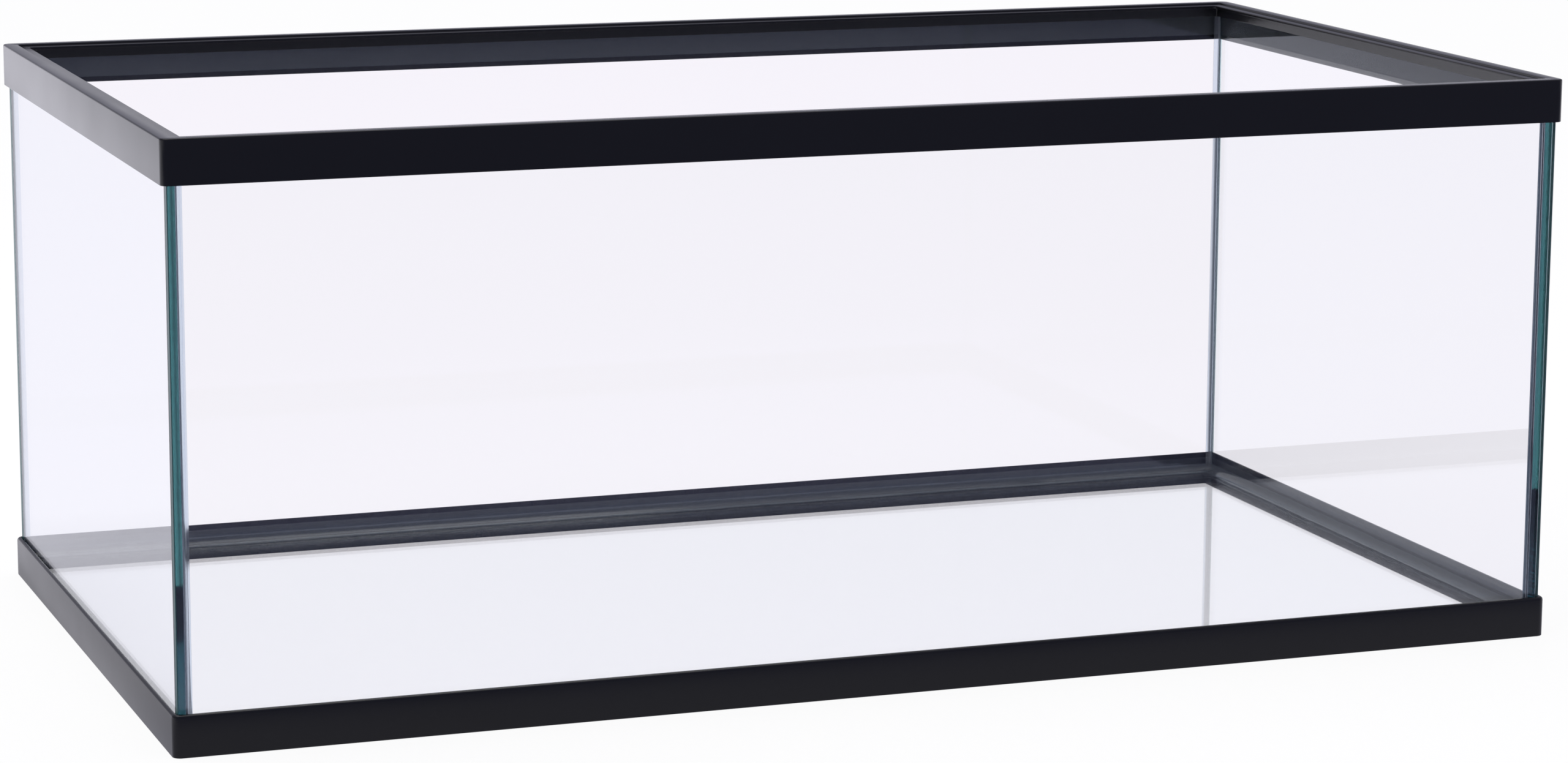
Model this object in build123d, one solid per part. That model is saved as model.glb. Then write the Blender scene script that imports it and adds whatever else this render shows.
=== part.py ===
from build123d import *
import os

# An open glass aquarium: five glass panes bonded with clear silicone, held
# between a black moulded top frame and a black moulded base frame.
# Millimetres. The origin is the centre of the footprint on the surface that the
# tank stands on, +X is the tank's length, -Y is the front and +Z is up.

# Whole tank, over the outer faces of the two frames
LENGTH = 768.0
WIDTH = 422.0
HEIGHT = 309.0

# Glass and the silicone films that bond it
GLASS = 5.0
SEAMED_EDGE = 0.4
FILM = 0.6

# Both frames
FRAME_WALL = 2.4
CORNER_RADIUS = 4.4
RIM_EDGE_RADIUS = 1.0
BASE_EDGE_RADIUS = 1.9
LOWER_EDGE_RADIUS = 0.5

# Top frame, with depths measured down from the rim
TOP_FRAME_HEIGHT = 23.2
RIM_THICKNESS = 3.0
RIM_REACH = 13.0
SKIRT_THICKNESS = 2.4
SKIRT_DEPTH = 8.0
LID_SEAT_WIDTH = 5.5
LID_SEAT_DEPTH = 1.2

# Base frame, with heights measured up from the surface it stands on
BASE_FRAME_HEIGHT = 22.0
SHELF_TOP = 5.0
SHELF_THICKNESS = 2.4
BASE_REACH = 14.5
RIB_THICKNESS = 2.4
GUSSET_THICKNESS = 1.6
GUSSET_CLEARANCE = 1.5
GUSSETS_ALONG_LENGTH = 12
GUSSETS_ALONG_WIDTH = 6

# Silicone fillets on the inside, and how far the beds stay inside the frames
FLOOR_BEAD_LEG = 5.0
CORNER_BEAD_LEG = 3.2
BEAD_HOLLOW = 0.36
BED_SETBACK = 3.0
BED_TUCK = 0.5

# Worked out from the sizes above; an inset is measured from a frame's outer face
GLASS_OUT = FRAME_WALL + FILM
GLASS_IN = GLASS_OUT + GLASS
FLOOR_EDGE = GLASS_IN + FILM
PANE_LOW = SHELF_TOP + FILM
PANE_HIGH = HEIGHT - RIM_THICKNESS - FILM
PANE_HEIGHT = PANE_HIGH - PANE_LOW
FLOOR_TOP = PANE_LOW + GLASS
INNER_RADIUS = CORNER_RADIUS - FRAME_WALL
TOP_FRAME_LOW = HEIGHT - TOP_FRAME_HEIGHT
SKIRT_LOW = HEIGHT - SKIRT_DEPTH
SHELF_LOW = SHELF_TOP - SHELF_THICKNESS
BEAD_TOP = SKIRT_LOW - BED_TUCK
SIDES = (-1, 1)


def prism(inset, z_low, z_high, radius=0.0):
    """A block centred on the tank whose sides stand inset from the frames' outer faces."""
    length = LENGTH - 2 * inset
    width = WIDTH - 2 * inset
    outline = RectangleRounded(length, width, radius) if radius else Rectangle(length, width)
    return extrude(Plane.XY.offset(z_low) * outline, amount=z_high - z_low)


def box_between(low, high):
    """A box from its lowest corner to its highest corner."""
    size = [b - a for a, b in zip(low, high)]
    middle = [(a + b) / 2 for a, b in zip(low, high)]
    return Pos(*middle) * Box(*size)


def moulded_shell(z_low, z_high, upper_radius):
    """The outer shape of a frame, with its long edges rounded as moulded."""
    shell = prism(0, z_low, z_high, CORNER_RADIUS)
    shell = fillet(shell.edges().group_by(Axis.Z)[-1], upper_radius)
    return fillet(shell.edges().group_by(Axis.Z)[0], LOWER_EDGE_RADIUS)


def top_frame():
    """A wall outside the glass, a flat rim over its edges, and a skirt and lid seat inside."""
    rim_low = HEIGHT - RIM_THICKNESS
    seat_low = HEIGHT - LID_SEAT_DEPTH
    seat_out = RIM_REACH - LID_SEAT_WIDTH
    skirt_in = FLOOR_EDGE + SKIRT_THICKNESS
    frame = moulded_shell(TOP_FRAME_LOW, HEIGHT, RIM_EDGE_RADIUS)
    frame -= prism(FRAME_WALL, TOP_FRAME_LOW, rim_low, INNER_RADIUS)
    skirt = prism(FLOOR_EDGE, SKIRT_LOW, rim_low) - prism(skirt_in, SKIRT_LOW, rim_low)
    frame += skirt
    frame -= prism(RIM_REACH, rim_low, HEIGHT, INNER_RADIUS)
    frame -= prism(seat_out, seat_low, HEIGHT, INNER_RADIUS)
    return frame


def gussets(channel_out, channel_in):
    """Short cross ribs in the channel under the base frame's shelf."""
    low, high = GUSSET_CLEARANCE, SHELF_LOW
    half = GUSSET_THICKNESS / 2
    ribs = []
    for side in SIDES:
        edges = [side * (WIDTH / 2 - inset) for inset in (channel_out, channel_in)]
        for number in range(GUSSETS_ALONG_LENGTH):
            x = LENGTH * ((number + 0.5) / GUSSETS_ALONG_LENGTH - 0.5)
            ribs.append(box_between((x - half, min(edges), low), (x + half, max(edges), high)))
        edges = [side * (LENGTH / 2 - inset) for inset in (channel_out, channel_in)]
        for number in range(GUSSETS_ALONG_WIDTH):
            y = WIDTH * ((number + 0.5) / GUSSETS_ALONG_WIDTH - 0.5)
            ribs.append(box_between((min(edges), y - half, low), (max(edges), y + half, high)))
    return ribs


def base_frame():
    """A wall outside the glass, a shelf that the glass stands on, and an inner foot rib."""
    rib_out = BASE_REACH - RIB_THICKNESS
    frame = moulded_shell(0, BASE_FRAME_HEIGHT, BASE_EDGE_RADIUS)
    frame -= prism(FRAME_WALL, SHELF_TOP, BASE_FRAME_HEIGHT, INNER_RADIUS)
    frame -= prism(BASE_REACH, 0, SHELF_TOP)
    frame -= prism(FRAME_WALL, 0, SHELF_LOW, INNER_RADIUS) - prism(rib_out, 0, SHELF_LOW)
    for rib in gussets(FRAME_WALL, rib_out):
        frame += rib
    return frame


def pane(length, width, height, centre):
    """One sheet of float glass with its sharp edges seamed."""
    sheet = chamfer(Box(length, width, height).edges(), SEAMED_EDGE)
    return Pos(*centre) * sheet


def long_pane(side):
    """The front (-1) or rear (1) pane, which covers the ends of the side panes."""
    y = side * (WIDTH / 2 - GLASS_OUT - GLASS / 2)
    return pane(LENGTH - 2 * GLASS_OUT, GLASS, PANE_HEIGHT, (0, y, PANE_LOW + PANE_HEIGHT / 2))


def end_pane(side):
    """The left (-1) or right (1) pane, between the front and rear panes."""
    x = side * (LENGTH / 2 - GLASS_OUT - GLASS / 2)
    return pane(GLASS, WIDTH - 2 * FLOOR_EDGE, PANE_HEIGHT, (x, 0, PANE_LOW + PANE_HEIGHT / 2))


def bottom_pane():
    """The floor, inside the four walls and level with their lower edges."""
    centre = (0, 0, PANE_LOW + GLASS / 2)
    return pane(LENGTH - 2 * FLOOR_EDGE, WIDTH - 2 * FLOOR_EDGE, GLASS, centre)


def bead_section(size):
    """A finger-tooled silicone fillet: two straight legs of one size and a hollow face."""
    middle = size * BEAD_HOLLOW
    foot = Line((0, 0), (size, 0))
    face = ThreePointArc((size, 0), (middle, middle), (0, size))
    back = Line((0, size), (0, 0))
    return make_face(foot + face + back)


def bead(size, origin, leg, run, length):
    """A fillet that starts at origin, with one leg along leg, and runs along run."""
    return extrude(Plane(origin=origin, x_dir=leg, z_dir=run) * bead_section(size), amount=length)


def floor_seal(side_x, side_y):
    """The bond between the floor and one wall, with its fillet on the inside."""
    x = LENGTH / 2 - GLASS_IN
    y = WIDTH / 2 - GLASS_IN
    if side_y:
        run, length = (1, 0, 0), 2 * x
        leg = (0, 1, 0) if side_y < 0 else (0, 0, 1)
        start = (-x, side_y * y, FLOOR_TOP)
        edges = (side_y * y, side_y * (y - FILM))
        film = box_between((-x, min(edges), PANE_LOW), (x, max(edges), FLOOR_TOP))
    else:
        run, length = (0, 1, 0), 2 * y
        leg = (0, 0, 1) if side_x < 0 else (-1, 0, 0)
        start = (side_x * x, -y, FLOOR_TOP)
        edges = (side_x * x, side_x * (x - FILM))
        end = y - FILM
        film = box_between((min(edges), -end, PANE_LOW), (max(edges), end, FLOOR_TOP))
    return film + bead(FLOOR_BEAD_LEG, start, leg, run, length)


def corner_seal(side_x, side_y):
    """The bond between an end pane's edge and a long pane, with its inside fillet."""
    legs = {(-1, -1): (1, 0, 0), (1, -1): (0, 1, 0), (1, 1): (-1, 0, 0), (-1, 1): (0, -1, 0)}
    x_out = side_x * (LENGTH / 2 - GLASS_OUT)
    x_in = side_x * (LENGTH / 2 - GLASS_IN)
    y_out = side_y * (WIDTH / 2 - GLASS_IN)
    y_in = side_y * (WIDTH / 2 - FLOOR_EDGE)
    low = (min(x_out, x_in), min(y_out, y_in), PANE_LOW)
    high = (max(x_out, x_in), max(y_out, y_in), PANE_HIGH)
    foot = (x_in, y_out, FLOOR_TOP)
    leg = legs[side_x, side_y]
    fillet_strip = bead(CORNER_BEAD_LEG, foot, leg, (0, 0, 1), BEAD_TOP - FLOOR_TOP)
    return box_between(low, high) + fillet_strip


def frame_bed(cap_low, cap_high, cap_in, collar_low, collar_high):
    """Silicone that beds the glass in a frame: a flat cap at its edges and a collar outside."""
    cap = prism(FRAME_WALL, cap_low, cap_high, INNER_RADIUS) - prism(cap_in, cap_low, cap_high)
    collar = prism(FRAME_WALL, collar_low, collar_high, INNER_RADIUS)
    collar -= prism(GLASS_OUT, collar_low, collar_high)
    return cap + collar


def build():
    """Every piece of the tank, by name."""
    parts = {
        "top_frame": top_frame(),
        "base_frame": base_frame(),
        "front_pane": long_pane(-1),
        "rear_pane": long_pane(1),
        "left_pane": end_pane(-1),
        "right_pane": end_pane(1),
        "bottom_pane": bottom_pane(),
    }
    names_y = {-1: "front", 1: "rear"}
    names_x = {-1: "left", 1: "right"}
    long_seals = {name: floor_seal(0, side) for side, name in names_y.items()}
    for name, seal in long_seals.items():
        parts[name + "_floor_seal"] = seal
    end_seals = {name: floor_seal(side, 0) for side, name in names_x.items()}
    for name, seal in end_seals.items():
        for long_seal in long_seals.values():
            seal -= long_seal
        parts[name + "_floor_seal"] = seal
    for side_y, name_y in names_y.items():
        for side_x, name_x in names_x.items():
            seal = corner_seal(side_x, side_y) - long_seals[name_y] - parts[name_x + "_floor_seal"]
            parts[name_y + "_" + name_x + "_corner_seal"] = seal
    parts["top_frame_bed"] = frame_bed(PANE_HIGH, PANE_HIGH + FILM, FLOOR_EDGE,
                                       TOP_FRAME_LOW + BED_SETBACK, PANE_HIGH)
    parts["base_frame_bed"] = frame_bed(SHELF_TOP, PANE_LOW, BASE_REACH - BED_TUCK,
                                        PANE_LOW, BASE_FRAME_HEIGHT - BED_SETBACK)
    return parts


if __name__ == "__main__":
    os.makedirs("parts", exist_ok=True)
    for node, shape in build().items():
        export_step(shape, "parts/" + node + ".step")
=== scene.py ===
import bmesh
import bpy
import math
from mathutils import Matrix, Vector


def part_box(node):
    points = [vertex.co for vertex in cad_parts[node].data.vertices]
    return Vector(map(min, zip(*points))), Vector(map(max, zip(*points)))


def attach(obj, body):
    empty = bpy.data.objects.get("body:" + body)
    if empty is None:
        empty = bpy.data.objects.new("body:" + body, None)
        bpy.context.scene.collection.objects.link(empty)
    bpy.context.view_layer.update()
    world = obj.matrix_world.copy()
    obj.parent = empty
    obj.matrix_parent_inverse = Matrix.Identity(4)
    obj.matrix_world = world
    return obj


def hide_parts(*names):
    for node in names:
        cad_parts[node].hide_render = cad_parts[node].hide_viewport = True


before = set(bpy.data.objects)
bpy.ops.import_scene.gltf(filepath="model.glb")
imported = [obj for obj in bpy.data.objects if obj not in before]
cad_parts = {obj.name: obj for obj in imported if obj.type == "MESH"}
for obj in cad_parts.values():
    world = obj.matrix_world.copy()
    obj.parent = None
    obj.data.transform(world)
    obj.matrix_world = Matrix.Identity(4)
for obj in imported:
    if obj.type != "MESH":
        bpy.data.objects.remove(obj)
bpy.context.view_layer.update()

MM = 0.001

# The tank's own sizes, in metres, from the frame
FRAME_LOW, FRAME_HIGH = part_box("top_frame")
BASE_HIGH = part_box("base_frame")[1]
PANE_LOW, PANE_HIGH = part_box("front_pane")
FLOOR_LOW, FLOOR_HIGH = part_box("bottom_pane")
GLASS = FLOOR_HIGH.z - FLOOR_LOW.z
LENGTH = FRAME_HIGH.x - FRAME_LOW.x
WIDTH = FRAME_HIGH.y - FRAME_LOW.y
GLASS_OUT = FRAME_HIGH.x - PANE_HIGH.x
GLASS_IN = GLASS_OUT + GLASS
FLOOR_EDGE = FRAME_HIGH.x - FLOOR_HIGH.x

# The frames' sections; an inset is measured from a frame's outer face
WALL = 2.4 * MM
RIM = 3.0 * MM
RIM_REACH = 13.0 * MM
LID_SEAT = 7.5 * MM
LID_STEP = 1.2 * MM
SKIRT = 2.4 * MM
SKIRT_DEPTH = 8.0 * MM
SHELF = 2.4 * MM
SHELF_TOP = 5.0 * MM
BASE_REACH = 14.5 * MM
CORNER = 4.4 * MM
INNER_CORNER = 2.0 * MM
TIGHT_CORNER = 0.6 * MM
SQUARE_CORNER = 0.05 * MM
CORNER_STEPS = 7
RIM_EDGE = 0.9 * MM
BASE_EDGE = 1.8 * MM
LONG_EDGE_STEPS = 4
SMALL_EDGE = 0.35 * MM
SMALL_EDGE_STEPS = 2
SHARP_ANGLE = math.radians(30)

# The gussets in the channel under the base frame's shelf
GUSSET = 1.6 * MM
GUSSET_RAISE = 1.5 * MM
GUSSET_EDGE = 0.5 * MM
GUSSET_EDGE_STEPS = 3
GUSSETS_LONG = 12
GUSSETS_SHORT = 6

# The silicone's sizes; it reaches a hair into what it bonds, so that no air shows between them
BEAD = 5.0 * MM
BEAD_HOLLOW = 0.36
BEAD_STEPS = 6
BEAD_CORNER = 3.0 * MM
CORNER_BEAD = 3.2 * MM
CORNER_BEAD_LIP = 0.15 * MM
CORNER_BEAD_PROFILE = 0.12
BEAD_TOP_GAP = 0.5 * MM
BEAD_TOP = FRAME_HIGH.z - SKIRT_DEPTH - BEAD_TOP_GAP
BED_SETBACK = 3.0 * MM
BED_TUCK = 0.5 * MM
BOND = 0.03 * MM

# How far a hand-tooled face wavers, how long its waves are, and how often it is cut so that it can
TOOLING = 0.25 * MM
TOOLING_WAVE = 30 * MM
TOOLING_STEP = 14 * MM
TOOLED_ANGLE = math.radians(35)

# How near two places are when they count as one, on flat faces and on the frames' round corners
SAME_HEIGHT = 0.01 * MM
SAME_PLACE = 0.02 * MM
SAME_CURVE = 0.1 * MM

# Moulded polystyrene: two near-blacks and two satins, which the flow of the melt drifts between, and
# the mould's eroded grain, drawn coarser than the real one so that it shows
BLACK = "#09090b"
PALER_BLACK = "#0f0f12"
SATIN_GLOSSY = 0.20
SATIN_MATT = 0.28
PLASTIC_IOR = 1.5
PLASTIC_SPECULAR = 0.4
FLOW = 60 * MM
GRAIN = 0.5 * MM
GRAIN_DEPTH = 0.02 * MM
GRAIN_STRENGTH = 0.10

# Float glass: the colour it leaves in the light, how much of the rest goes in a metre, the tint of what
# it mirrors straight on, and how squarely a face looks across the sheet unless it is a cut edge
GLASS_TINT = "#30c2b9"
GLASS_DEPTH = 3.6
GLASS_GLINT = "#a0a0b4"
GLASS_IOR = 1.52
DRAWN_FACE = 0.9

# The panes' cut edges: ground and bare at the ends of the long panes, wetted by silicone elsewhere
BARE_EDGE = "#30605a"
BARE_EDGE_CLEAR = 0.4
BARE_EDGE_FROST = 0.4
WET_EDGE = "#b2d0c6"
WET_EDGE_CLEAR = 0.97
WET_EDGE_FROST = 0.05

# Clear silicone: a face square to an axis is bonded, wholly clear in a seam and a little milky in the
# bedding, and any other face is smeared by the finger that smoothed it
SILICONE_TINT = "#e6eef9"
SILICONE_IOR = 1.41
BONDED_FACE = 0.985
SEAM_CLEAR = 1.0
BED_CLEAR = 0.93
TOOLED_CLEAR = 0.93
BONDED_ROUGH = 0.02
LEAST_SMEARED = 0.05
MOST_SMEARED = 0.14
SMEAR = 6 * MM
SMEAR_DEPTH = 0.1 * MM
SMEAR_STRENGTH = 0.2

# The studio: the backdrop's tone through glass, the room's pale side, the room above the backdrop and
# behind the camera, and the dark flags at both sides. The upper room comes in between two heights of
# the way a ray goes, and the dim side is dimmest at one y of that way, or of a point on the floor.
WHITE = "#ffffff"
THROUGH_GLASS = "#fcf8ff"
PALE_SIDE = "#f6f5ff"
UPPER_SIDE = "#a2a2b2"
UPPER_START = 0.03
UPPER_FULL = 0.16
DIM_SIDE = "#8486a0"
ROOM_DIMMEST = -0.7
FLOOR_DIMMEST = -0.5
SIDE_FLAG = "#5a5e66"
FLAG_START = math.radians(32)
FLAG_END = math.radians(44)

# A ray's depth counts the faces that mirrored it, or that it came through: under the first number there
# are none, and over the second there are more than two clear panes have
MET_NONE = 0.5
MOST_PANE_FACES = 4.5

# The floor: the share of it that glows, how much brighter soft reflections show it far behind the tank,
# and what it loses in reflections close beside the tank, which shades it
FLOOR_SIZE = 14
FLOOR_GLOW = 0.92
FAR_FLOOR_START = 0.3
FAR_FLOOR_FULL = 1.2
FAR_FLOOR_SHEEN = 0.55
NEAR_FLOOR = 0.15
NEAR_FLOOR_LOSS = 0.25

# The soft lamp overhead: its width in metres, its power in watts and its place
LAMP_SIZE = 2.4
LAMP_POWER = 30
LAMP_PLACE = (-0.4, 0.2, 2.4)

# How often light may bounce; it needs many to run down inside a pane
MOST_BOUNCES = 40
MOST_GLASS_BOUNCES = 32

# The camera, where the photograph was taken from
CAMERA_PLACE = (-0.8310, -2.3057, 0.5999)
CAMERA_TURN = math.radians(20.111)
CAMERA_TILT = math.radians(10.893)
CAMERA_ROLL = math.radians(0.279)
CAMERA_LENS = 102.03
CAMERA_NEAREST = 0.01
SENSOR_WIDTH = 36.0


def linear(hex_colour):
    """An sRGB hex value as linear red, green, blue and alpha."""
    parts = [int(hex_colour[i:i + 2], 16) / 255 for i in (1, 3, 5)]
    return [c / 12.92 if c <= 0.04045 else ((c + 0.055) / 1.055) ** 2.4 for c in parts] + [1.0]


def add(tree, kind, settings, links=None):
    """Adds one shader node, sets its properties and sockets, and links its sockets.

    Sockets that share a name go by number: a Mix node takes its factor at 0, two numbers at 2 and 3
    and two colours at 6 and 7, and gives the mixed number at 0 and the mixed colour at 2.
    """
    node = tree.nodes.new(kind)
    for name, value in settings.items():
        if isinstance(name, str) and hasattr(node, name):
            setattr(node, name, value)
        else:
            node.inputs[name].default_value = value
    for name, source in (links or {}).items():
        tree.links.new(source, node.inputs[name])
    return node


def new_material(name):
    """An empty node material and its tree."""
    material = bpy.data.materials.new(name)
    material.use_nodes = True
    material.node_tree.nodes.clear()
    return material, material.node_tree


def satin_black_polystyrene():
    """High-impact polystyrene, injection-moulded in a finely eroded mould."""
    # To the eye: near-black and satin, so the room shows as soft grey bands that the grain blurs
    material, tree = new_material("satin_black_polystyrene")
    place = add(tree, "ShaderNodeTexCoord", {}).outputs["Object"]
    grain = add(tree, "ShaderNodeTexNoise", {"Scale": 1 / GRAIN, "Detail": 2.0}, {"Vector": place})
    flow = add(tree, "ShaderNodeTexNoise", {"Scale": 1 / FLOW, "Detail": 3.0}, {"Vector": place})
    colour = add(tree, "ShaderNodeMix",
                 {"data_type": "RGBA", 6: linear(BLACK), 7: linear(PALER_BLACK)},
                 {0: flow.outputs["Fac"]})
    satin = add(tree, "ShaderNodeMapRange", {"To Min": SATIN_GLOSSY, "To Max": SATIN_MATT},
                {"Value": flow.outputs["Fac"]})
    bump = add(tree, "ShaderNodeBump", {"Strength": GRAIN_STRENGTH, "Distance": GRAIN_DEPTH},
               {"Height": grain.outputs["Fac"]})
    shader = add(tree, "ShaderNodeBsdfPrincipled",
                 {"IOR": PLASTIC_IOR, "Specular IOR Level": PLASTIC_SPECULAR},
                 {"Base Color": colour.outputs[2], "Roughness": satin.outputs["Result"],
                  "Normal": bump.outputs["Normal"]})
    add(tree, "ShaderNodeOutputMaterial", {}, {"Surface": shader.outputs["BSDF"]})
    return material


def face_tilt(tree, axes):
    """How squarely a face looks along the named axes of its piece, from 0 to 1."""
    normal = add(tree, "ShaderNodeTexCoord", {}).outputs["Normal"]
    parts = add(tree, "ShaderNodeSeparateXYZ", {}, {0: normal})
    most = None
    for axis in axes:
        size = add(tree, "ShaderNodeMath", {"operation": "ABSOLUTE"}, {0: parts.outputs[axis]})
        if most is not None:
            size = add(tree, "ShaderNodeMath", {"operation": "MAXIMUM"},
                       {0: most, 1: size.outputs[0]})
        most = size.outputs[0]
    return most


def clear_float_glass(axis, edge, edge_clear, edge_frost):
    """Soda-lime float glass, drawn flat across one axis, its edges cut and ground."""
    # To the eye: colourless faces, and green where light runs down inside the sheet to an edge
    material, tree = new_material("clear_float_glass_" + axis.lower())
    cut = add(tree, "ShaderNodeMath", {"operation": "LESS_THAN", 1: DRAWN_FACE},
              {0: face_tilt(tree, [axis])}).outputs[0]
    colour = add(tree, "ShaderNodeMix", {"data_type": "RGBA", 6: linear(WHITE), 7: linear(edge)},
                 {0: cut})
    clear = add(tree, "ShaderNodeMapRange", {"To Min": 1.0, "To Max": edge_clear}, {"Value": cut})
    frost = add(tree, "ShaderNodeMapRange", {"To Min": 0.0, "To Max": edge_frost}, {"Value": cut})
    shader = add(tree, "ShaderNodeBsdfPrincipled",
                 {"IOR": GLASS_IOR, "Specular Tint": linear(GLASS_GLINT)},
                 {"Base Color": colour.outputs[2], "Transmission Weight": clear.outputs[0],
                  "Roughness": frost.outputs[0]})
    tint = add(tree, "ShaderNodeVolumeAbsorption",
               {"Color": linear(GLASS_TINT), "Density": GLASS_DEPTH})
    add(tree, "ShaderNodeOutputMaterial", {},
        {"Surface": shader.outputs["BSDF"], "Volume": tint.outputs["Volume"]})
    return material


def clear_silicone(name, bonded_clear):
    """Clear neutral-cure silicone, gunned into a joint and smoothed with a wet finger."""
    # To the eye: it vanishes where it wets the glass, and is cloudy where it was smoothed
    material, tree = new_material(name)
    place = add(tree, "ShaderNodeTexCoord", {}).outputs["Object"]
    smear = add(tree, "ShaderNodeTexNoise", {"Scale": 1 / SMEAR, "Detail": 3.0}, {"Vector": place})
    bonded = add(tree, "ShaderNodeMath", {"operation": "GREATER_THAN", 1: BONDED_FACE},
                 {0: face_tilt(tree, ["X", "Y", "Z"])})
    cloud = add(tree, "ShaderNodeMapRange", {"To Min": LEAST_SMEARED, "To Max": MOST_SMEARED},
                {"Value": smear.outputs["Fac"]})
    rough = add(tree, "ShaderNodeMix", {3: BONDED_ROUGH},
                {0: bonded.outputs[0], 2: cloud.outputs["Result"]})
    clear = add(tree, "ShaderNodeMapRange", {"To Min": TOOLED_CLEAR, "To Max": bonded_clear},
                {"Value": bonded.outputs[0]})
    bump = add(tree, "ShaderNodeBump", {"Strength": SMEAR_STRENGTH, "Distance": SMEAR_DEPTH},
               {"Height": smear.outputs["Fac"]})
    shader = add(tree, "ShaderNodeBsdfPrincipled",
                 {"Base Color": linear(SILICONE_TINT), "IOR": SILICONE_IOR},
                 {"Transmission Weight": clear.outputs[0], "Roughness": rough.outputs[0],
                  "Normal": bump.outputs["Normal"]})
    add(tree, "ShaderNodeOutputMaterial", {}, {"Surface": shader.outputs["BSDF"]})
    return material


def give(piece, material):
    """The piece gets one material."""
    piece.data.materials.clear()
    piece.data.materials.append(material)


def start_piece():
    """Object mode with nothing selected."""
    if bpy.context.mode != "OBJECT":
        bpy.ops.object.mode_set(mode="OBJECT")
    bpy.ops.object.select_all(action="DESELECT")


def pick(*pieces):
    """Object mode with only these pieces selected, and the first of them active."""
    start_piece()
    for piece in pieces:
        piece.select_set(True)
    bpy.context.view_layer.objects.active = pieces[0]


def select_where(kind, test):
    """In edit mode, selects the verts, edges or faces that pass the test."""
    mesh = bmesh.from_edit_mesh(bpy.context.object.data)
    bpy.ops.mesh.select_all(action="DESELECT")
    mesh.select_mode = {kind[:-1].upper()}
    for item in getattr(mesh, kind):
        item.select_set(bool(test(item)))
    mesh.select_flush_mode()
    bmesh.update_edit_mesh(bpy.context.object.data)


def apply_place():
    """Takes the selected piece's place, turn and size into its mesh."""
    bpy.ops.object.transform_apply(location=True, rotation=True, scale=True)


def block(place, size):
    """A box of one size at its place, the start of a rib or a seal that is shaped further."""
    start_piece()
    bpy.ops.mesh.primitive_cube_add(size=1, location=place)
    bpy.ops.transform.resize(value=size)
    apply_place()
    return bpy.context.object


def rectangle_loop(inset, z, radius):
    """A rounded rectangle of edges at one inset and height, the same number of points each."""
    start_piece()
    bpy.ops.mesh.primitive_plane_add(size=1, location=(0, 0, z))
    bpy.ops.transform.resize(value=(LENGTH - 2 * inset, WIDTH - 2 * inset, 1))
    apply_place()
    bpy.ops.object.mode_set(mode="EDIT")
    bpy.ops.mesh.select_all(action="SELECT")
    bpy.ops.mesh.bevel(offset=radius, segments=CORNER_STEPS, affect="VERTICES")
    bpy.ops.mesh.select_all(action="SELECT")
    bpy.ops.mesh.delete(type="ONLY_FACE")
    bpy.ops.object.mode_set(mode="OBJECT")
    return bpy.context.object


def at_height(z):
    """A test for the points at one height."""
    return lambda vert: abs(vert.co.z - z) < SAME_HEIGHT


def moulded_ring(name, stations):
    """A closed section carried round the rectangle: one loop for each station, bridged in turn.

    The loops are bridged a metre apart, because two in one plane bridge with a twist.
    """
    parked = [1.0 + number for number in range(len(stations))]
    loops = [rectangle_loop(inset, z, radius) for z, (inset, _, radius) in zip(parked, stations)]
    pick(*loops)
    bpy.ops.object.join()
    ring = bpy.context.object
    ring.name = name
    bpy.ops.object.mode_set(mode="EDIT")
    for first, second in zip(parked, parked[1:] + parked[:1]):
        levels = (at_height(first), at_height(second))
        select_where("edges", lambda edge: any(all(map(level, edge.verts)) for level in levels))
        bpy.ops.mesh.bridge_edge_loops()
    for z, (_, home, _) in zip(parked, stations):
        select_where("verts", at_height(z))
        bpy.ops.transform.translate(value=(0, 0, home - z))
    bpy.ops.mesh.select_all(action="SELECT")
    bpy.ops.mesh.normals_make_consistent(inside=False)
    bpy.ops.object.mode_set(mode="OBJECT")
    return ring


def on_outside(place):
    """Whether a place lies on a frame's outer face, round corners included."""
    dx, dy = LENGTH / 2 - abs(place.x), WIDTH / 2 - abs(place.y)
    if dx >= CORNER - SAME_PLACE or dy >= CORNER - SAME_PLACE:
        return min(dx, dy) < SAME_PLACE
    return abs(math.hypot(CORNER - dx, CORNER - dy) - CORNER) < SAME_CURVE


def soften_outer_edge(piece, z, radius):
    """Rounds the long edge round a moulding's outside at one height."""
    pick(piece)
    bpy.ops.object.mode_set(mode="EDIT")
    level = at_height(z)
    select_where("edges", lambda edge: all(level(v) and on_outside(v.co) for v in edge.verts))
    bpy.ops.mesh.bevel(offset=radius, segments=LONG_EDGE_STEPS, affect="EDGES")
    bpy.ops.object.mode_set(mode="OBJECT")


def round_small_edges(piece):
    """Rounds a moulding's other sharp edges with an applied bevel."""
    bevel = piece.modifiers.new("rounded_edges", "BEVEL")
    bevel.width = SMALL_EDGE
    bevel.segments = SMALL_EDGE_STEPS
    bevel.limit_method = "ANGLE"
    bevel.angle_limit = SHARP_ANGLE
    bevel.harden_normals = False
    pick(piece)
    bpy.ops.object.modifier_apply(modifier=bevel.name)
    bpy.ops.object.shade_smooth_by_angle(angle=SHARP_ANGLE)


def belongs(piece, slot_name, *nodes):
    """The piece rides on the tank and stands for its CAD nodes."""
    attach(piece, "root")
    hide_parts(*nodes)


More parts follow.
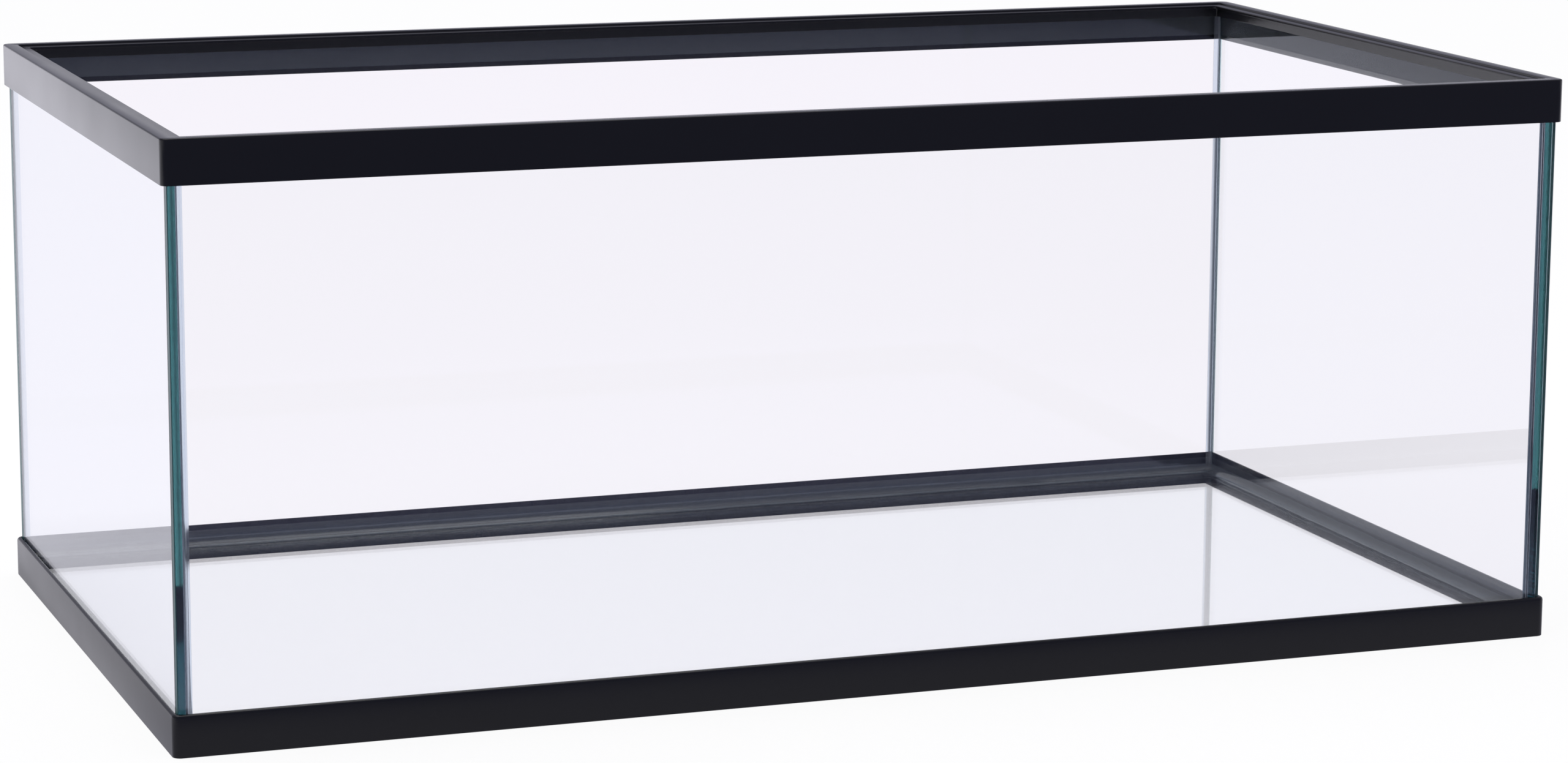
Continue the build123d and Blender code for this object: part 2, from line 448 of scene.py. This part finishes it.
def model_top_frame(material):
    """The top moulding: outer wall, flat rim, lid seat and skirt."""
    top, low = FRAME_HIGH.z, FRAME_LOW.z
    under = top - RIM
    skirt_low = top - SKIRT_DEPTH
    stations = [
        (0, low, CORNER), (0, top, CORNER), (LID_SEAT, top, INNER_CORNER),
        (LID_SEAT, top - LID_STEP, INNER_CORNER), (RIM_REACH, top - LID_STEP, INNER_CORNER),
        (RIM_REACH, under, INNER_CORNER), (FLOOR_EDGE + SKIRT, under, TIGHT_CORNER),
        (FLOOR_EDGE + SKIRT, skirt_low, TIGHT_CORNER), (FLOOR_EDGE, skirt_low, TIGHT_CORNER),
        (FLOOR_EDGE, under, TIGHT_CORNER), (WALL, under, INNER_CORNER), (WALL, low, INNER_CORNER),
    ]
    piece = moulded_ring("top_frame_moulding", stations)
    soften_outer_edge(piece, top, RIM_EDGE)
    round_small_edges(piece)
    give(piece, material)
    belongs(piece, "frame_plastic", "top_frame")


def model_gusset():
    """One short cross rib at the middle of the front channel, its lower edges rounded."""
    channel_in = BASE_REACH - SHELF
    reach = channel_in - WALL + 2 * BOND
    height = SHELF_TOP - SHELF - GUSSET_RAISE + BOND
    y = -WIDTH / 2 + (WALL + channel_in) / 2
    piece = block((0, y, GUSSET_RAISE + height / 2), (GUSSET, reach, height))

    def long_lower_edge(edge):
        first, second = edge.verts
        lower = max(first.co.z, second.co.z) < GUSSET_RAISE + BOND
        return lower and abs(first.co.y - second.co.y) > BOND
    bpy.ops.object.mode_set(mode="EDIT")
    select_where("edges", long_lower_edge)
    bpy.ops.mesh.bevel(offset=GUSSET_EDGE, segments=GUSSET_EDGE_STEPS, affect="EDGES")
    bpy.ops.object.mode_set(mode="OBJECT")
    return piece


def copy_turned(piece, turn, move):
    """A copy with its own mesh, turned about the tank's upright axis and then moved."""
    twin = piece.copy()
    twin.data = piece.data.copy()
    bpy.context.scene.collection.objects.link(twin)
    pick(twin)
    twin.matrix_world = Matrix.Translation(move) @ Matrix.Rotation(turn, 4, "Z")
    apply_place()
    return twin


def gusset_places():
    """The turn and the move that take the front gusset to each place round the channel."""
    for number in range(GUSSETS_LONG):
        x = LENGTH * ((number + 0.5) / GUSSETS_LONG - 0.5)
        yield 0, (x, 0, 0)
        yield math.pi, (x, 0, 0)
    shift = (LENGTH - WIDTH) / 2
    for number in range(GUSSETS_SHORT):
        y = WIDTH * ((number + 0.5) / GUSSETS_SHORT - 0.5)
        yield math.pi / 2, (shift, y, 0)
        yield -math.pi / 2, (-shift, y, 0)


def model_base_frame(material):
    """The base moulding: outer wall, shelf, foot rib and the ribbed channel under the shelf."""
    high, shelf_low = BASE_HIGH.z, SHELF_TOP - SHELF
    rib_out = BASE_REACH - SHELF
    stations = [
        (0, 0, CORNER), (0, high, CORNER), (WALL, high, INNER_CORNER),
        (WALL, SHELF_TOP, INNER_CORNER), (BASE_REACH, SHELF_TOP, TIGHT_CORNER),
        (BASE_REACH, 0, TIGHT_CORNER), (rib_out, 0, TIGHT_CORNER),
        (rib_out, shelf_low, TIGHT_CORNER), (WALL, shelf_low, INNER_CORNER), (WALL, 0, INNER_CORNER),
    ]
    piece = moulded_ring("base_frame_moulding", stations)
    soften_outer_edge(piece, high, BASE_EDGE)
    round_small_edges(piece)
    first = model_gusset()
    ribs = [copy_turned(first, turn, move) for turn, move in gusset_places()]
    pick(piece, *ribs)
    bpy.ops.object.join()
    bpy.data.objects.remove(first)
    give(piece, material)
    belongs(piece, "frame_plastic", "base_frame")


def hollow_points():
    """Points along a tooled fillet's hollow face, as shares of its leg, from the wall to the floor."""
    low = BEAD_HOLLOW
    centre = (1 - 2 * low * low) / (2 - 4 * low)
    radius = math.sqrt(2) * (centre - low)
    start = math.atan2(1 - centre, -centre) % math.tau
    end = math.atan2(-centre, 1 - centre) % math.tau
    for step in range(BEAD_STEPS + 1):
        angle = start + (end - start) * step / BEAD_STEPS
        yield centre + radius * math.cos(angle), centre + radius * math.sin(angle)


def cut_across(piece, axis, step):
    """Cuts the piece across one axis at even steps, so that a long run can waver."""
    pick(piece)
    bpy.ops.object.mode_set(mode="EDIT")
    spots = [vert.co[axis] for vert in piece.data.vertices]
    low, high = min(spots), max(spots)
    count = int((high - low) / step)
    normal = [float(number == axis) for number in range(3)]
    for number in range(1, count):
        spot = [0.0, 0.0, 0.0]
        spot[axis] = low + (high - low) * number / count
        bpy.ops.mesh.select_all(action="SELECT")
        bpy.ops.mesh.bisect(plane_co=spot, plane_no=normal)
    bpy.ops.object.mode_set(mode="OBJECT")


def waver(piece, free):
    """Moves the free points of a hand-tooled face a little in and out, by a smooth noise."""
    pick(piece)
    group = piece.vertex_groups.new(name="tooled")
    group.add([vert.index for vert in piece.data.vertices if free(vert.co)], 1.0, "REPLACE")
    noise = bpy.data.textures.new("hand_tooling", "CLOUDS")
    noise.noise_scale = TOOLING_WAVE
    move = piece.modifiers.new("hand_tooling", "DISPLACE")
    move.texture = noise
    move.texture_coords = "LOCAL"
    move.strength = TOOLING
    move.vertex_group = group.name
    bpy.ops.object.modifier_apply(modifier=move.name)
    piece.vertex_groups.clear()
    bpy.data.textures.remove(noise)
    bpy.ops.object.shade_smooth_by_angle(angle=TOOLED_ANGLE)


def model_floor_seal(material):
    """The bond round the floor pane and its fillet, tooled in one pass round the tank."""
    low, floor = FLOOR_LOW.z, FLOOR_HIGH.z
    out = GLASS_IN - BOND
    stations = [(FLOOR_EDGE + BOND, low, SQUARE_CORNER), (out, low, SQUARE_CORNER)]
    for along, up in hollow_points():
        stations.append((out + BEAD * along, floor - BOND + BEAD * up,
                         SQUARE_CORNER + BEAD_CORNER * along))
    stations.append((FLOOR_EDGE + BOND, floor - BOND, SQUARE_CORNER))
    piece = moulded_ring("floor_seal", stations)
    cut_across(piece, 0, TOOLING_STEP)
    cut_across(piece, 1, TOOLING_STEP)
    x, y = LENGTH / 2 - GLASS_IN, WIDTH / 2 - GLASS_IN
    margin = 0.2 * MM

    def free(place):
        inside = min(x - abs(place.x), y - abs(place.y))
        return place.z > floor + margin and margin < inside < BEAD - margin
    waver(piece, free)
    give(piece, material)
    belongs(piece, "silicone",
            "front_floor_seal", "rear_floor_seal", "left_floor_seal", "right_floor_seal")


def model_corner_seal(material, side_x, side_y, node):
    """The bond down one corner: a film on the end pane's edge and a tooled fillet inside."""
    x_in, y_in = LENGTH / 2 - GLASS_IN, WIDTH / 2 - GLASS_IN
    low, high, floor = PANE_LOW.z, PANE_HIGH.z, FLOOR_HIGH.z
    gap = FLOOR_EDGE - GLASS_IN
    film = block((side_x * (x_in + GLASS / 2), side_y * (y_in - gap / 2), (low + high) / 2),
                 (GLASS, gap + 2 * BOND, high - low))
    leg = CORNER_BEAD + BOND
    x_middle, y_middle = x_in + BOND - leg / 2, y_in + BOND - leg / 2
    piece = block((side_x * x_middle, side_y * y_middle, (floor + BEAD_TOP) / 2),
                  (leg, leg, BEAD_TOP - floor))
    inner_x, inner_y = side_x * (x_in + BOND - leg), side_y * (y_in + BOND - leg)
    margin = 0.3 * MM

    def on_inner(vert):
        return abs(vert.co.x - inner_x) < SAME_PLACE and abs(vert.co.y - inner_y) < SAME_PLACE

    def free(place):
        dx, dy = abs(side_x * x_in - place.x), abs(side_y * y_in - place.y)
        return min(dx, dy) > margin and floor + SAME_PLACE < place.z < BEAD_TOP - SAME_PLACE
    bpy.ops.object.mode_set(mode="EDIT")
    select_where("edges", lambda edge: all(map(on_inner, edge.verts)))
    bpy.ops.mesh.bevel(offset=CORNER_BEAD - CORNER_BEAD_LIP, segments=BEAD_STEPS,
                       profile=CORNER_BEAD_PROFILE, affect="EDGES")
    bpy.ops.object.mode_set(mode="OBJECT")
    cut_across(piece, 2, TOOLING_STEP)
    waver(piece, free)
    pick(piece, film)
    bpy.ops.object.join()
    piece.name = node + "_tooled"
    give(piece, material)
    belongs(piece, "silicone", node)


def model_beds(material):
    """The silicone that beds the panes in the two frames."""
    wall = WALL - BOND
    glass = GLASS_OUT + BOND
    rim_under = FRAME_HIGH.z - RIM + BOND
    glass_top = PANE_HIGH.z - BOND
    collar_low = FRAME_LOW.z + BED_SETBACK
    stations = [
        (wall, collar_low, INNER_CORNER), (wall, rim_under, INNER_CORNER),
        (FLOOR_EDGE, rim_under, TIGHT_CORNER), (FLOOR_EDGE, glass_top, TIGHT_CORNER),
        (glass, glass_top, SQUARE_CORNER), (glass, collar_low, SQUARE_CORNER),
    ]
    piece = moulded_ring("top_frame_bedding", stations)
    give(piece, material)
    belongs(piece, "silicone", "top_frame_bed")
    shelf = SHELF_TOP - BOND
    glass_low = PANE_LOW.z + BOND
    collar_high = BASE_HIGH.z - BED_SETBACK
    inner = BASE_REACH - BED_TUCK
    stations = [
        (wall, shelf, INNER_CORNER), (wall, collar_high, INNER_CORNER),
        (glass, collar_high, SQUARE_CORNER), (glass, glass_low, SQUARE_CORNER),
        (inner, glass_low, TIGHT_CORNER), (inner, shelf, TIGHT_CORNER),
    ]
    piece = moulded_ring("base_frame_bedding", stations)
    give(piece, material)
    belongs(piece, "silicone", "base_frame_bed")


def glaze_panes():
    """Each pane gets float glass whose cut edges are bare or wetted by silicone."""
    bare = (BARE_EDGE, BARE_EDGE_CLEAR, BARE_EDGE_FROST)
    wet = (WET_EDGE, WET_EDGE_CLEAR, WET_EDGE_FROST)
    panes = (("X", wet, ("left_pane", "right_pane")),
             ("Y", bare, ("front_pane", "rear_pane")),
             ("Z", wet, ("bottom_pane",)))
    for axis, edge, nodes in panes:
        sheet = clear_float_glass(axis, *edge)
        for node in nodes:
            give(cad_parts[node], sheet)


def side_flags(tree, rays, x, y, corner):
    """Where the dark flags at both sides show: past the tank's rear and front corners, and only in
    light that has come through a seam, which crosses more faces than two clear panes have."""
    beyond = []
    for place, start in ((x, corner[0]), (y, corner[1])):
        size = add(tree, "ShaderNodeMath", {"operation": "ABSOLUTE"}, {0: place})
        past = add(tree, "ShaderNodeMath", {"operation": "SUBTRACT", 1: start}, {0: size.outputs[0]})
        beyond.append(past.outputs[0])
    angle = add(tree, "ShaderNodeMath", {"operation": "ARCTAN2"}, {0: beyond[0], 1: beyond[1]})
    flag = add(tree, "ShaderNodeMapRange", {"From Min": FLAG_START, "From Max": FLAG_END},
               {"Value": angle.outputs[0]})
    seam = add(tree, "ShaderNodeMath", {"operation": "GREATER_THAN", 1: MOST_PANE_FACES},
               {0: rays.outputs["Transmission Depth"]})
    return add(tree, "ShaderNodeMath", {"operation": "MULTIPLY"},
               {0: flag.outputs[0], 1: seam.outputs[0]}).outputs[0]


def backdrop(tree, room, x, y, corner):
    """White for the eye, a breath of lavender straight through glass, and the room in reflections."""
    rays = add(tree, "ShaderNodeLightPath", {})
    straight = add(tree, "ShaderNodeMath", {"operation": "LESS_THAN", 1: MET_NONE},
                   {0: rays.outputs["Glossy Depth"]})
    through = add(tree, "ShaderNodeMath", {"operation": "MULTIPLY"},
                  {0: rays.outputs["Is Transmission Ray"], 1: straight.outputs[0]})
    seen = add(tree, "ShaderNodeMath", {"operation": "MAXIMUM"},
               {0: rays.outputs["Is Camera Ray"], 1: through.outputs[0]})
    white = add(tree, "ShaderNodeMix",
                {"data_type": "RGBA", 6: linear(THROUGH_GLASS), 7: linear(WHITE)},
                {0: rays.outputs["Is Camera Ray"]})
    colour = add(tree, "ShaderNodeMix", {"data_type": "RGBA"},
                 {0: seen.outputs[0], 6: room, 7: white.outputs[2]})
    flagged = add(tree, "ShaderNodeMix", {"data_type": "RGBA", 7: linear(SIDE_FLAG)},
                  {0: side_flags(tree, rays, x, y, corner), 6: colour.outputs[2]})
    return rays, seen.outputs[0], flagged.outputs[2]


def above_backdrop(tree, z):
    """The pale side, and the dimmer room that bare plastic mirrors above it, as the way rises by z."""
    rays = add(tree, "ShaderNodeLightPath", {})
    bare = add(tree, "ShaderNodeMath", {"operation": "LESS_THAN", 1: MET_NONE},
               {0: rays.outputs["Transmission Depth"]})
    above = add(tree, "ShaderNodeMapRange",
                {"interpolation_type": "SMOOTHSTEP", "From Min": UPPER_START, "From Max": UPPER_FULL},
                {"Value": z})
    share = add(tree, "ShaderNodeMath", {"operation": "MULTIPLY"},
                {0: bare.outputs[0], 1: above.outputs[0]})
    share = add(tree, "ShaderNodeMath", {"operation": "MULTIPLY"},
                {0: share.outputs[0], 1: rays.outputs["Is Glossy Ray"]})
    return add(tree, "ShaderNodeMix",
               {"data_type": "RGBA", 6: linear(PALE_SIDE), 7: linear(UPPER_SIDE)},
               {0: share.outputs[0]}).outputs[2]


def dimmer_front(tree, y, dimmest, pale=None):
    """The pale room, turning to its dim side as y goes from nothing to where it is dimmest."""
    front = add(tree, "ShaderNodeMapRange",
                {"interpolation_type": "SMOOTHSTEP", "From Min": 0.0, "From Max": dimmest},
                {"Value": y})
    links = {0: front.outputs[0]}
    if pale is not None:
        links[6] = pale
    return add(tree, "ShaderNodeMix",
               {"data_type": "RGBA", 6: linear(PALE_SIDE), 7: linear(DIM_SIDE)}, links).outputs[2]


def glow_share(tree, rays, seen):
    """The share of the floor that glows: to the eye, through glass and in reflections."""
    share = add(tree, "ShaderNodeMath", {"operation": "MAXIMUM"},
                {0: seen, 1: rays.outputs["Is Glossy Ray"]})
    share = add(tree, "ShaderNodeMath", {"operation": "MAXIMUM"},
                {0: share.outputs[0], 1: rays.outputs["Is Transmission Ray"]})
    return add(tree, "ShaderNodeMath", {"operation": "MULTIPLY", 1: FLOOR_GLOW},
               {0: share.outputs[0]}).outputs[0]


def loss_beside_tank(tree, place):
    """How much the floor loses at a place close beside the tank, which shades it."""
    gaps = []
    for axis, half in (("X", LENGTH / 2), ("Y", WIDTH / 2)):
        size = add(tree, "ShaderNodeMath", {"operation": "ABSOLUTE"}, {0: place.outputs[axis]})
        past = add(tree, "ShaderNodeMath", {"operation": "SUBTRACT", 1: half}, {0: size.outputs[0]})
        gaps.append(past.outputs[0])
    gap = add(tree, "ShaderNodeMath", {"operation": "MAXIMUM"}, {0: gaps[0], 1: gaps[1]})
    return add(tree, "ShaderNodeMapRange",
               {"From Min": 0.0, "From Max": NEAR_FLOOR, "To Min": NEAR_FLOOR_LOSS, "To Max": 0.0},
               {"Value": gap.outputs[0]}).outputs[0]


def glow_strength(tree, rays, place):
    """The glow's strength: more in soft reflections far behind, less in those beside the tank."""
    behind = add(tree, "ShaderNodeMapRange",
                 {"From Min": FAR_FLOOR_START, "From Max": FAR_FLOOR_FULL,
                  "To Min": 0.0, "To Max": FAR_FLOOR_SHEEN},
                 {"Value": place.outputs["Y"]})
    broad = add(tree, "ShaderNodeMath", {"operation": "SUBTRACT"},
                {0: rays.outputs["Is Glossy Ray"], 1: rays.outputs["Is Singular Ray"]})
    lifted = add(tree, "ShaderNodeMath", {"operation": "MULTIPLY_ADD", 2: 1.0},
                 {0: behind.outputs[0], 1: broad.outputs[0]})
    near = add(tree, "ShaderNodeMath", {"operation": "MULTIPLY"},
               {0: loss_beside_tank(tree, place), 1: rays.outputs["Is Reflection Ray"]})
    return add(tree, "ShaderNodeMath", {"operation": "SUBTRACT"},
               {0: lifted.outputs[0], 1: near.outputs[0]}).outputs[0]


def studio_floor():
    """A pale floor that shows white behind the tank, dims towards the camera and takes a shadow."""
    start_piece()
    bpy.ops.mesh.primitive_plane_add(size=FLOOR_SIZE, location=(0, 0, 0))
    floor = bpy.context.object
    floor.name = "studio_floor"
    material, tree = new_material("pale_floor")
    point = add(tree, "ShaderNodeTexCoord", {}).outputs["Object"]
    place = add(tree, "ShaderNodeSeparateXYZ", {}, {0: point})
    x, y = place.outputs["X"], place.outputs["Y"]
    room = dimmer_front(tree, y, FLOOR_DIMMEST)
    rays, seen, colour = backdrop(tree, room, x, y, (LENGTH / 2, WIDTH / 2))
    matt = add(tree, "ShaderNodeBsdfDiffuse", {}, {"Color": colour})
    glow = add(tree, "ShaderNodeEmission", {},
               {"Color": colour, "Strength": glow_strength(tree, rays, place)})
    mixed = add(tree, "ShaderNodeMixShader", {},
                {0: glow_share(tree, rays, seen), 1: matt.outputs[0], 2: glow.outputs[0]})
    add(tree, "ShaderNodeOutputMaterial", {}, {"Surface": mixed.outputs[0]})
    give(floor, material)


def studio_light():
    """A white room with a dimmer side behind the camera, and one large soft lamp above."""
    world = bpy.data.worlds.new("studio")
    bpy.context.scene.world = world
    world.use_nodes = True
    tree = world.node_tree
    tree.nodes.clear()
    direction = add(tree, "ShaderNodeTexCoord", {}).outputs["Generated"]
    way = add(tree, "ShaderNodeSeparateXYZ", {}, {0: direction})
    x, y, z = (way.outputs[axis] for axis in "XYZ")
    room = dimmer_front(tree, y, ROOM_DIMMEST, above_backdrop(tree, z))
    _, _, colour = backdrop(tree, room, x, y, (0, 0))
    sky = add(tree, "ShaderNodeBackground", {"Strength": 1.0}, {"Color": colour})
    add(tree, "ShaderNodeOutputWorld", {}, {"Surface": sky.outputs[0]})
    lamp_data = bpy.data.lights.new("overhead_softbox", "AREA")
    lamp_data.size = LAMP_SIZE
    lamp_data.energy = LAMP_POWER
    lamp = bpy.data.objects.new("overhead_softbox", lamp_data)
    lamp.location = LAMP_PLACE
    bpy.context.scene.collection.objects.link(lamp)


def photo_camera():
    """The camera at the photograph's viewing angle."""
    data = bpy.data.cameras.new("photo_camera")
    data.sensor_width = SENSOR_WIDTH
    data.lens = CAMERA_LENS
    data.clip_start = CAMERA_NEAREST
    camera = bpy.data.objects.new("photo_camera", data)
    turn = Matrix.Rotation(-CAMERA_TURN, 4, "Z")
    tilt = Matrix.Rotation(math.pi / 2 - CAMERA_TILT, 4, "X")
    roll = Matrix.Rotation(CAMERA_ROLL, 4, "Z")
    camera.matrix_world = Matrix.Translation(CAMERA_PLACE) @ turn @ tilt @ roll
    bpy.context.scene.collection.objects.link(camera)
    bpy.context.scene.camera = camera


def light_paths():
    """Lets light run down the length of a pane, where it bounces between the faces many times."""
    paths = bpy.context.scene.cycles
    paths.max_bounces = MOST_BOUNCES
    paths.glossy_bounces = MOST_GLASS_BOUNCES
    paths.transmission_bounces = MOST_GLASS_BOUNCES


photo_camera()
bpy.context.scene.view_settings.view_transform = "Standard"
light_paths()
studio_light()
studio_floor()

plastic = satin_black_polystyrene()
silicone = clear_silicone("clear_silicone", SEAM_CLEAR)
bedding = clear_silicone("clear_silicone_bedding", BED_CLEAR)
model_top_frame(plastic)
model_base_frame(plastic)
model_beds(bedding)
model_floor_seal(silicone)
for side_y, name_y in ((-1, "front"), (1, "rear")):
    for side_x, name_x in ((-1, "left"), (1, "right")):
        model_corner_seal(silicone, side_x, side_y, f"{name_y}_{name_x}_corner_seal")
glaze_panes()
